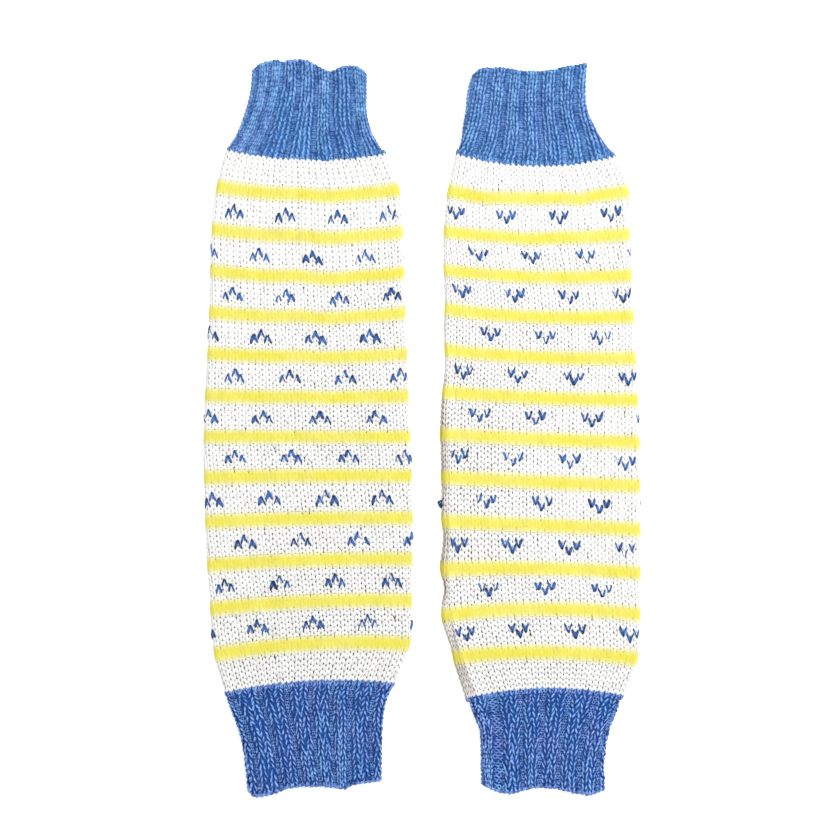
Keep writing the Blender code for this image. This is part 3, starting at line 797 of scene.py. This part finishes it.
def knit_halves(knit, count, layer, draw, stitch_width, knit_up, unevenness=UNEVENNESS, weight=1.0,
                holes=0.0):
    """Every point on the two halves of some stitches: across in stitches, up in courses, out in mm.

    With them comes the run of their yarn."""
    steps, angles = LAYERS[layer]
    stitch, half = (count, 1, 1, 1), (count, 2, 1, 1)
    size = 1 + draw.normal(0, unevenness * UNEVEN_SIZE, half)
    shift = draw.normal(0, unevenness * UNEVEN_PLACE, stitch)
    shift = shift + draw.normal(0, unevenness * UNEVEN_HALF, half)
    lift = draw.normal(0, UNEVEN_LIFT, stitch)
    thick = (1 + draw.normal(0, unevenness * UNEVEN_SIZE, half)) * weight
    side = np.array((-1.0, 1.0))[:, None, None]
    t = np.array(steps)[:, None]
    looser = np.where(t < 0.5, np.maximum(holes, FOOT_CLOSES * holes), holes)
    ends = knit.foot_end + (knit.head_end - knit.foot_end) * t
    ends = np.clip(ends * (1 - looser + draw.normal(0, unevenness * UNEVEN_END, half)), THINNEST_END, 1.0)
    turn = np.radians(np.array(angles))
    run_across = (knit.head - knit.foot) * 6 * t * (1 - t) * stitch_width
    run_up = knit.length * COURSE_HEIGHT
    run = np.hypot(run_across, run_up)
    radius = knit.radius * thick * (ends + (1 - ends) * np.sin(pi * t) ** YARN_SWELL)
    across = (knit.foot + (knit.head - knit.foot) * smooth_step(t)) * size * stitch_width
    across = side * (across + radius * np.cos(turn) * run_up / run) / stitch_width + shift
    up = knit.start + knit.length * t * size - radius * np.cos(turn) * run_across / run / COURSE_HEIGHT
    dip = knit.dip * np.clip(1 + HEAD_DIP * looser, 0.0, DEEPEST_DIP)
    out = (knit.stand - knit.radius * knit.flat - dip * (1 - np.sin(pi * t ** DIP_SKEW))
           + radius * knit.flat * np.sin(turn) + lift)
    along = run_up * t + draw.uniform(0, TEXTURE_START, half)
    if not knit_up:
        up = 1 - up
    shape = (count, 2, len(steps), len(angles))
    across, up, out = (np.broadcast_to(value, shape) for value in (across, up, out))
    faces = faces_between(shape)
    turned_half = 1 if knit_up else 0
    faces = np.concatenate((faces[:, turned_half][..., TURNED], faces[:, 1 - turned_half]))
    return across, up, out, run_of(shape, faces, along, knit.radius * turn)


def leg_knit(warmer, knit, layer, stitches, courses, draw, edge=0.0, **looseness):
    """The points of some stitches of a leg, their shares and courses and the run of their yarn."""
    across, up, out, run = knit_halves(
        knit, len(stitches), layer, draw, STITCH_WIDTH, warmer.knit_up, **looseness)
    course = np.clip(each(courses) + up, edge, TOTAL_COURSES - edge)
    share = stitch_share(warmer, each(stitches) + across, course)
    return cloth_points(warmer, LEG_WALL, share, course, out), share, course, run


def set_values(piece, name, values):
    """A number at each point, for the material to read."""
    numbers = np.asarray(values, dtype=np.float32).ravel()
    piece.data.attributes.new(name, "FLOAT", "POINT").data.foreach_set("value", numbers)


def yarn_piece(name, node, points, run, tone, material):
    """A piece of yarn of one colour, fixed to the pair, which takes the place of its node's part and hides
    it.
    """
    piece = new_piece(name, points.reshape(-1, 3), run.faces, material)
    set_uv(piece, run.along.ravel(), run.round_yarn.ravel())
    set_values(piece, "tone", tone)
    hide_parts(node)
    stitched[node].append(piece)
    return piece


def stripe_share(course):
    """How far the yarn is dyed as the stripes, with soft edges where the colours run into each other."""
    last = STRIPE_REPEAT * (STRIPE_COUNT - 1)
    from_stripe = course - FIRST_STRIPE - STRIPE_COURSES / 2
    nearest = np.clip(np.round(from_stripe / STRIPE_REPEAT) * STRIPE_REPEAT, 0, last)
    return 1 - smooth_step((np.abs(from_stripe - nearest) - STRIPE_CORE) / STRIPE_FADE)


def patches_at(patches, share, course):
    """The sum of some soft patches at places of the upper layer."""
    return patch_sum(patches, 2 * from_left_fold(share), course)


def leg_stitches(warmer, colour, layer, stitches, courses, draw):
    """The stitches of one colour on one layer of a leg."""
    knit, slot = YARNS[colour]
    holes = patches_at(warmer.holes, stitch_share(warmer, stitches, courses + 0.5), courses)
    holes = (colour == "white") * holes * (1 - stripe_share(courses + 0.5))
    points, share, course, run = leg_knit(
        warmer, knit, layer, stitches, courses, draw, CUFF_COURSES - LEG_OVERLAP, holes=each(holes))
    tone = LEG_TONE + draw.normal(0, LEG_TONE_SPREAD, (len(stitches), 1, 1, 1))
    # Painted shade: tone falls along the folds and creases of the shades table
    tone = tone - patches_at(warmer.shades, share, course)
    piece = yarn_piece(f"{warmer.side}_{colour}_stitches_{layer}", f"{warmer.side}_leg", points, run,
                       tone, leg_yarn)
    set_values(piece, "stripe", stripe_share(course))


# The dark colours, brown for the white yarn and olive for the stripes, are those of the painted shade along
# the folds; elsewhere tone keeps the yarn near its light colours
leg_yarn = yarn_material("leg_yarn", (0.26, 0.18, 0.11), ((0.80, 0.80, 0.79), (0.79, 0.79, 0.78)),
                         0.15, 0.1, (0.40, 0.31, 0.01), ((0.71, 0.646, 0.084), (0.72, 0.668, 0.135)))
YARNS = {"white": (WHITE_KNIT, "white_leg_yarn"), "yellow": (YELLOW_KNIT, "yellow_stripe_yarn")}

for warmer in PAIR:
    draw = np.random.default_rng(STITCH_SEEDS[warmer.side])
    places = {}
    for course in range(CUFF_COURSES, TOTAL_COURSES - CUFF_COURSES):
        colour = "yellow" if row_of(course) == "yellow" else "white"
        shares = stitch_share(warmer, np.arange(LEG_STITCHES), course + 0.5) % 1.0
        for stitch, is_front in enumerate(on_front(shares)):
            layer = "front" if is_front else "back"
            places.setdefault((colour, layer), []).append((stitch, course))
    for (colour, layer), spots in places.items():
        stitches, courses = np.array(spots, dtype=float).T
        leg_stitches(warmer, colour, layer, stitches, courses, draw)

# Motifs
# Small arrowheads of three blue stitches stand between the stripes, one every eight stitches, and
# change places by half of that from row to row. The blue yarn lies over the white of its stitches.
MOTIF_REPEAT = 8
MOTIF_KNIT = Knit(0.05, 0.44, -0.34, 1.80, 0.84, 0.45, 0.40, 0.72, 0.22, 0.42)
MOTIF_UNEVENNESS = 0.16
MOTIF_TONE = 0.85
MOTIF_TONE_SPREAD = 0.2
MOTIF_END_SHADE = 1.1
STROKE_SPREAD = 0.22
THINNEST_STROKE = 0.45
THICKEST_STROKE = 1.4
LOST_STROKES = 0.05
LOST_WEIGHT = 0.3
MOTIF_SEEDS = {"left": 32, "right": 31}
# How many stitches each row of motifs stands to the right of its place in the repeat, from the lowest
MOTIF_SHIFTS = {
    "left": (0.45, 0.35, 0.0, 0.0, -0.3, 0.0, 0.0, 0.0, -0.3, 0.0, 0.0),
    "right": (0.0, 0.25, -0.1, 0.3, 0.15, -0.75, 0.4, 0.3, 0.1, -0.45, 0.2),
}
# How near the left fold, in stitches, the motifs have turned out of sight with the crumpled edge
FOLD_HIDES = {"left": 0.0, "right": 1.15}


def in_motif(warmer, stitch, course):
    """True where a stitch belongs to a motif: one stitch, and in the next course one at each side."""
    step = (course - FIRST_STRIPE) % STRIPE_REPEAT - MOTIF_FROM_STRIPE
    band = (course - FIRST_STRIPE) // STRIPE_REPEAT
    from_centre = (stitch - (TWIST_STITCH if band % 2 == 0 else 0)) % MOTIF_REPEAT
    is_centre_row = (step == 0) == warmer.knit_up
    return from_centre == 0 if is_centre_row else from_centre in (1, MOTIF_REPEAT - 1)


motif_yarn = yarn_material("motif_yarn", (0.008, 0.02, 0.075),
                           ((0.042, 0.13, 0.41), (0.06, 0.18, 0.52)), 1.6, 0.6)
for warmer in PAIR:
    draw = np.random.default_rng(MOTIF_SEEDS[warmer.side])
    spots = [(stitch, course) for course in range(CUFF_COURSES, TOTAL_COURSES - CUFF_COURSES)
             if row_of(course) == "motif"
             for stitch in range(LEG_STITCHES) if in_motif(warmer, stitch, course)]
    stitches, courses = np.array(spots, dtype=float).T
    band = ((courses - FIRST_STRIPE) // STRIPE_REPEAT).astype(int)
    stitches = stitches + np.array(MOTIF_SHIFTS[warmer.side])[band]
    from_fold = from_left_fold(stitch_share(warmer, stitches, courses + 0.5))
    is_seen = np.abs(from_fold) * LEG_STITCHES >= FOLD_HIDES[warmer.side]
    stitches, courses = stitches[is_seen], courses[is_seen]
    half = (len(stitches), 2, 1, 1)
    weight = np.clip(draw.normal(1.0, STROKE_SPREAD, half), THINNEST_STROKE, THICKEST_STROKE)
    weight = np.where(draw.uniform(0, 1, half) < LOST_STROKES, LOST_WEIGHT, weight)
    points, share, _, run = leg_knit(warmer, MOTIF_KNIT, "front", stitches, courses, draw,
                                     unevenness=MOTIF_UNEVENNESS, weight=weight)
    from_middle = np.abs(2 * np.array(FRONT_STEPS) - 1)[:, None]
    # Painted shade: each motif stitch darker toward its ends, where they dip into the holes
    tone = MOTIF_TONE - MOTIF_END_SHADE * from_middle ** 1.5 + draw.normal(0, MOTIF_TONE_SPREAD, half)
    yarn_piece(f"{warmer.side}_motifs", f"{warmer.side}_leg", points, run,
               np.broadcast_to(tone, share.shape), motif_yarn)

# Snag
# At the left fold of the right leg warmer some blue yarn has been pulled out of its motif, and
# stands off the edge as a small tuft of untidy loops.
SNAG_COURSE = 54.2
SNAG_LOOPS = 9
SNAG_STEPS = 9
SNAG_SIDES = 6
SNAG_HALF_HEIGHT = 2.2
SNAG_REACH = 2.9
SNAG_RADIUS = 0.40
SNAG_BASE = -0.9
# The tuft's low tone is painted shade: it sits on the left fold, which faces away from the lamp
SNAG_TONE = 0.15
SNAG_TONE_SPREAD = 0.15
SNAG_SEED = 51
# Roughly how many millimetres the leg measures all round at the snag
LEG_ROUND = 250.0

draw = np.random.default_rng(SNAG_SEED)
half_turn = np.linspace(0, pi, SNAG_STEPS)[:, None]
turn = np.radians(np.arange(0, 360, 360 // SNAG_SIDES))
loop = (SNAG_LOOPS, 1, 1)
radius = SNAG_RADIUS * draw.uniform(0.8, 1.1, loop)
from_path = radius * np.cos(turn)
course = (SNAG_HALF_HEIGHT * draw.uniform(0.3, 1.0, loop) + from_path) * np.cos(half_turn) / COURSE_HEIGHT
course = SNAG_COURSE + course + draw.normal(0, 0.12, loop)
out = SNAG_BASE + (SNAG_REACH * draw.uniform(0.6, 1.0, loop) + from_path) * np.sin(half_turn)
share = (draw.uniform(-0.2, 1.6, loop) + draw.normal(0, 0.7, loop) * np.cos(half_turn)
         + radius * np.sin(turn)) / LEG_ROUND
points = cloth_points(RIGHT, LEG_WALL, share, course, out)
run = run_of(out.shape, faces_between(out.shape, is_closed=True), 2.0 * half_turn, SNAG_RADIUS * turn)
yarn_piece("right_snag", "right_leg", points, run,
           SNAG_TONE + draw.normal(0, SNAG_TONE_SPREAD, out.shape), motif_yarn)

# Ribbed cuffs
# Two knit stitches and two purl ones by turns. The knit pairs stand up as ribs, and the purl
# stitches sink between them, so that the wavy bars of their loops show down in the valleys.
KNIT_COLUMNS = (0.125, 0.375)
COLUMN_PHASE = 0.25
VALLEY_PHASE = 0.75
PURL_STEPS = (-1.0, -0.5, 0.0, 0.5, 1.0)
BARS_A_COURSE = 2
PURL_MIDDLE_LIGHT = 0.18
BAR_SHIFT = 0.05
BAR_SLIP = 0.02
BAR_SAG = 0.25
BAR_LIFT = 0.10
BAR_TONE_SPREAD = 0.03
CUFF_TONE_SPREAD = 0.07
JOIN_TONE_SPREAD = 0.10
JOIN_CREST_LIGHT = 0.7
JOIN_REACH = 0.48
JOIN_TUCK = 0.02
JOIN_KNIT = Knit(0.10, 0.42, -JOIN_TUCK, 1 + JOIN_REACH + JOIN_TUCK, 0.80, 0.50, 0.50, 0.80, 0.35, 0.10)
CUFF_SEED = 21

# The yarn of a cuff: its knit stitches and how uneven they are, how light it is and how much lighter its
# crests are, a painted highlight on the crests and painted shade on the flanks, and the purl bars' share of
# the valley, depth, radius, bow, tone and painted crest highlight. The purl bars' tone lies below the
# knit's, painted shade down in the valleys.
CuffYarn = namedtuple("CuffYarn", "material knit unevenness tone crest purl_span purl_depth purl_radius "
                      "purl_bow purl_tone purl_crest")
CUFF_YARNS = {
    "top": CuffYarn(
        yarn_material("top_cuff_yarn", (0.015, 0.075, 0.28),
                      ((0.225, 0.51, 0.85), (0.27, 0.47, 0.87)), 1.5, 0.9),
        Knit(0.18, 0.35, -0.25, 1.50, 0.88, 0.52, 0.52, 0.85, 0.80, 0.0), 0.10, 0.40, 0.48,
        0.25, 0.32, 1.05, 0.05, 0.13, 0.05),
    "bottom": CuffYarn(
        yarn_material("bottom_cuff_yarn", (0.003, 0.032, 0.21),
                      ((0.215, 0.46, 0.87), (0.27, 0.42, 0.88)), 2.4, 0.8),
        Knit(0.14, 0.38, -0.19, 1.34, 0.70, 0.42, 0.42, 0.95, 0.72, 0.0), 0.20, 0.50, 0.74,
        0.24, 0.24, 0.70, 0.16, 0.21, 0.40),
}


def cuff_piece(cuff, part, points, run, tone):
    yarn_piece(f"{cuff.node}_{part}", cuff.node, points, run, tone,
               CUFF_YARNS[cuff.end].material)


def column_width(cuff, phase, course):
    """The width in millimetres of one knit column."""
    start, end, _ = rib_spans(cuff, phase, course)
    left, right = rows_at(cuff.warmer.sections, course)[:2]
    return (end - start) * (right - left - 2 * RIB_HEIGHT)


def crest_at(angles):
    """How near the crest of the yarn each angle round it is."""
    return np.sin(np.radians(np.array(angles))) ** 3


def cuff_knit(cuff, layer, draw):
    """The knit stitches of one layer of a cuff, two columns on each rib."""
    yarn = CUFF_YARNS[cuff.end]
    grid = [(rib + column, course) for rib in range(RIBS_ROUND) for column in KNIT_COLUMNS
            for course in range(cuff.first, cuff.first + CUFF_COURSES)]
    centres, courses = np.array(grid).T
    in_layer = on_front(cuff_share(cuff, centres, courses + 0.5) % 1.0) == (layer == "front")
    centres, courses = each(centres[in_layer]), each(courses[in_layer])
    across, up, out, run = knit_halves(
        yarn.knit, len(centres), layer, draw, column_width(cuff, centres, courses + 0.5),
        cuff.warmer.knit_up, yarn.unevenness)
    course = np.clip(courses + up, HEM_INSET, TOTAL_COURSES - HEM_INSET)
    points = cuff_points(cuff, centres + across * COLUMN_PHASE, course, out)
    steps, angles = LAYERS[layer]
    middle = np.sin(pi * np.array(steps))[:, None]
    # Painted light: each stitch lighter on its crest and toward its middle, darker on its flanks and at its
    # ends, where it dips
    tone = yarn.tone + yarn.crest * (crest_at(angles) * (0.1 + 1.1 * middle ** 1.5) - 0.5)
    tone = tone + draw.normal(0, CUFF_TONE_SPREAD, (len(centres), 2, 1, 1))
    tone = tone + draw.normal(0, yarn.unevenness, out.shape)
    cuff_piece(cuff, f"knit_{layer}", points, run, tone)


def cuff_join(cuff, draw):
    """The row that joins a cuff to its leg: knit stitches whose ends reach between the white ones."""
    yarn = CUFF_YARNS[cuff.end]
    course = TOTAL_COURSES - CUFF_COURSES if cuff.is_top else CUFF_COURSES - 1
    foot_at_leg = cuff.is_top == cuff.warmer.knit_up
    knit = JOIN_KNIT._replace(start=-JOIN_REACH) if foot_at_leg else JOIN_KNIT
    points, share, _, run = leg_knit(
        cuff.warmer, knit, "front", np.arange(LEG_STITCHES), np.full(LEG_STITCHES, course), draw)
    # Painted light: the joining stitches lighter on their crests, darker on their flanks
    tone = yarn.tone + yarn.crest * (JOIN_CREST_LIGHT * crest_at(FRONT_ANGLES) - 0.5)
    tone = tone + draw.normal(0, JOIN_TONE_SPREAD, share.shape)
    cuff_piece(cuff, "join", points, run, tone)


def cuff_purl(cuff, draw):
    """The wavy bars of the purl stitches, one over another down every valley."""
    yarn = CUFF_YARNS[cuff.end]
    rib, row = np.meshgrid(np.arange(RIBS_ROUND), np.arange(CUFF_COURSES * BARS_A_COURSE))
    rib, row = rib.ravel()[:, None, None], row.ravel()[:, None, None]
    bar = rib.shape
    step = np.array(PURL_STEPS)[:, None]
    turn = np.radians(np.array(FRONT_ANGLES))
    wave = yarn.purl_bow * np.cos(2 * pi * step) * (1 - 2 * (row % 2))
    radius = yarn.purl_radius * (1 + draw.normal(0, yarn.unevenness, bar))
    course = cuff.first + (row + 0.5) / BARS_A_COURSE + wave + radius * np.cos(turn) / COURSE_HEIGHT
    course = course + draw.normal(0, BAR_SHIFT, bar)
    phase = rib + VALLEY_PHASE + yarn.purl_span * step + draw.normal(0, BAR_SLIP, bar)
    out = -yarn.purl_depth - radius + radius * np.sin(turn) - BAR_SAG * step ** 2
    out = out + draw.normal(0, BAR_LIFT, bar)
    phase, course, out = np.broadcast_arrays(phase, course, out)
    course = np.clip(course, HEM_INSET, TOTAL_COURSES - HEM_INSET)
    points = cuff_points(cuff, phase, course, out)
    along = 2.0 * step + draw.uniform(0, TEXTURE_START, bar)
    run = run_of(out.shape, faces_between(out.shape), along, yarn.purl_radius * turn)
    # Painted light: each bar lighter on its crest and at its raised middle, darker at its sagging ends and
    # low in the valley
    middle = PURL_MIDDLE_LIGHT * (1 - np.abs(step)) ** 2
    tone = yarn.purl_tone + middle + yarn.purl_crest * (np.sin(turn) - 0.5)
    tone = tone + draw.normal(0, BAR_TONE_SPREAD, bar) + draw.normal(0, CUFF_TONE_SPREAD, out.shape)
    cuff_piece(cuff, "purl", points, run, tone)


for number, cuff in enumerate(CUFFS):
    draw = np.random.default_rng(CUFF_SEED + number)
    cuff_knit(cuff, "front", draw)
    cuff_knit(cuff, "back", draw)
    cuff_purl(cuff, draw)
    cuff_join(cuff, draw)

# Hems
# Each tube starts and ends with a chain of loops, one to a stitch, which rounds off the edge of
# the cloth. The links lean a little, and the ribs of the cuff carry on into the chain.
LINK_STEPS = (-1.0, -0.6, 0.0, 0.6, 1.0)
LINK_ANGLES = (0, 45, 90, 135, 180, 225, 270, 315)
LINK_RADIUS = 0.85
LINK_OVERLAP = 0.62
LINK_LEAN = 0.16
LINK_DEPTH = 1.05
LINK_COURSE = 0.30
LINK_TONE = 0.1
LINK_SLIP = 0.0006
LINK_TAPER = 0.35
LINK_UNEVENNESS = 0.06
LINK_SHIFT = 0.04
LINK_RISE = 0.2
LINK_TONE_SPREAD = 0.12
HEM_TONE_SPREAD = 0.14
PHASE_SAMPLES = 24
HEM_SEED = 41


def hem_chain(cuff, draw):
    """The chain of loops along the open edge of a cuff."""
    yarn = CUFF_YARNS[cuff.end]
    hem = float(TOTAL_COURSES if cuff.is_top else 0)
    samples = np.arange(-PHASE_SAMPLES, (RIBS_ROUND + 1) * PHASE_SAMPLES) / PHASE_SAMPLES
    sample_shares = cuff_share(cuff, samples, np.full(samples.shape, hem))
    chain = (CUFF_STITCHES, 1, 1)
    link = np.arange(CUFF_STITCHES).reshape(chain)
    step = np.array(LINK_STEPS)[:, None]
    turn = np.radians(np.array(LINK_ANGLES))
    share = sample_shares[PHASE_SAMPLES] + (link + 0.5 + LINK_OVERLAP * step) / CUFF_STITCHES
    phase = np.interp(share + draw.normal(0, LINK_SLIP, chain), sample_shares, samples)
    radius = LINK_RADIUS * (1 - LINK_TAPER * step ** 4) * (1 + draw.normal(0, LINK_UNEVENNESS, chain))
    inward = LINK_COURSE + LINK_LEAN * step - radius * np.cos(turn) / COURSE_HEIGHT
    inward = inward + draw.normal(0, LINK_SHIFT, chain)
    course = TOTAL_COURSES - inward if cuff.is_top else inward
    out = -LINK_DEPTH + radius * np.sin(turn) + LINK_RISE * step
    points = cuff_points(cuff, phase, course, out)
    faces = faces_between(out.shape, is_closed=True)[..., [1, 2, 3, 0] if cuff.is_top else TURNED]
    along = 2.0 * step + draw.uniform(0, TEXTURE_START, chain)
    run = run_of(out.shape, faces, along, LINK_RADIUS * turn)
    # Painted light: each link lighter on its crest, darker toward its sides and ends
    tone = yarn.purl_tone + LINK_TONE + 0.5 * yarn.crest * (0.5 * np.sin(turn) - 0.1 - 0.5 * step ** 2)
    tone = tone + draw.normal(0, LINK_TONE_SPREAD, chain) + draw.normal(0, HEM_TONE_SPREAD, out.shape)
    cuff_piece(cuff, "hem", points, run, tone)


for number, cuff in enumerate(CUFFS):
    hem_chain(cuff, np.random.default_rng(HEM_SEED + number))
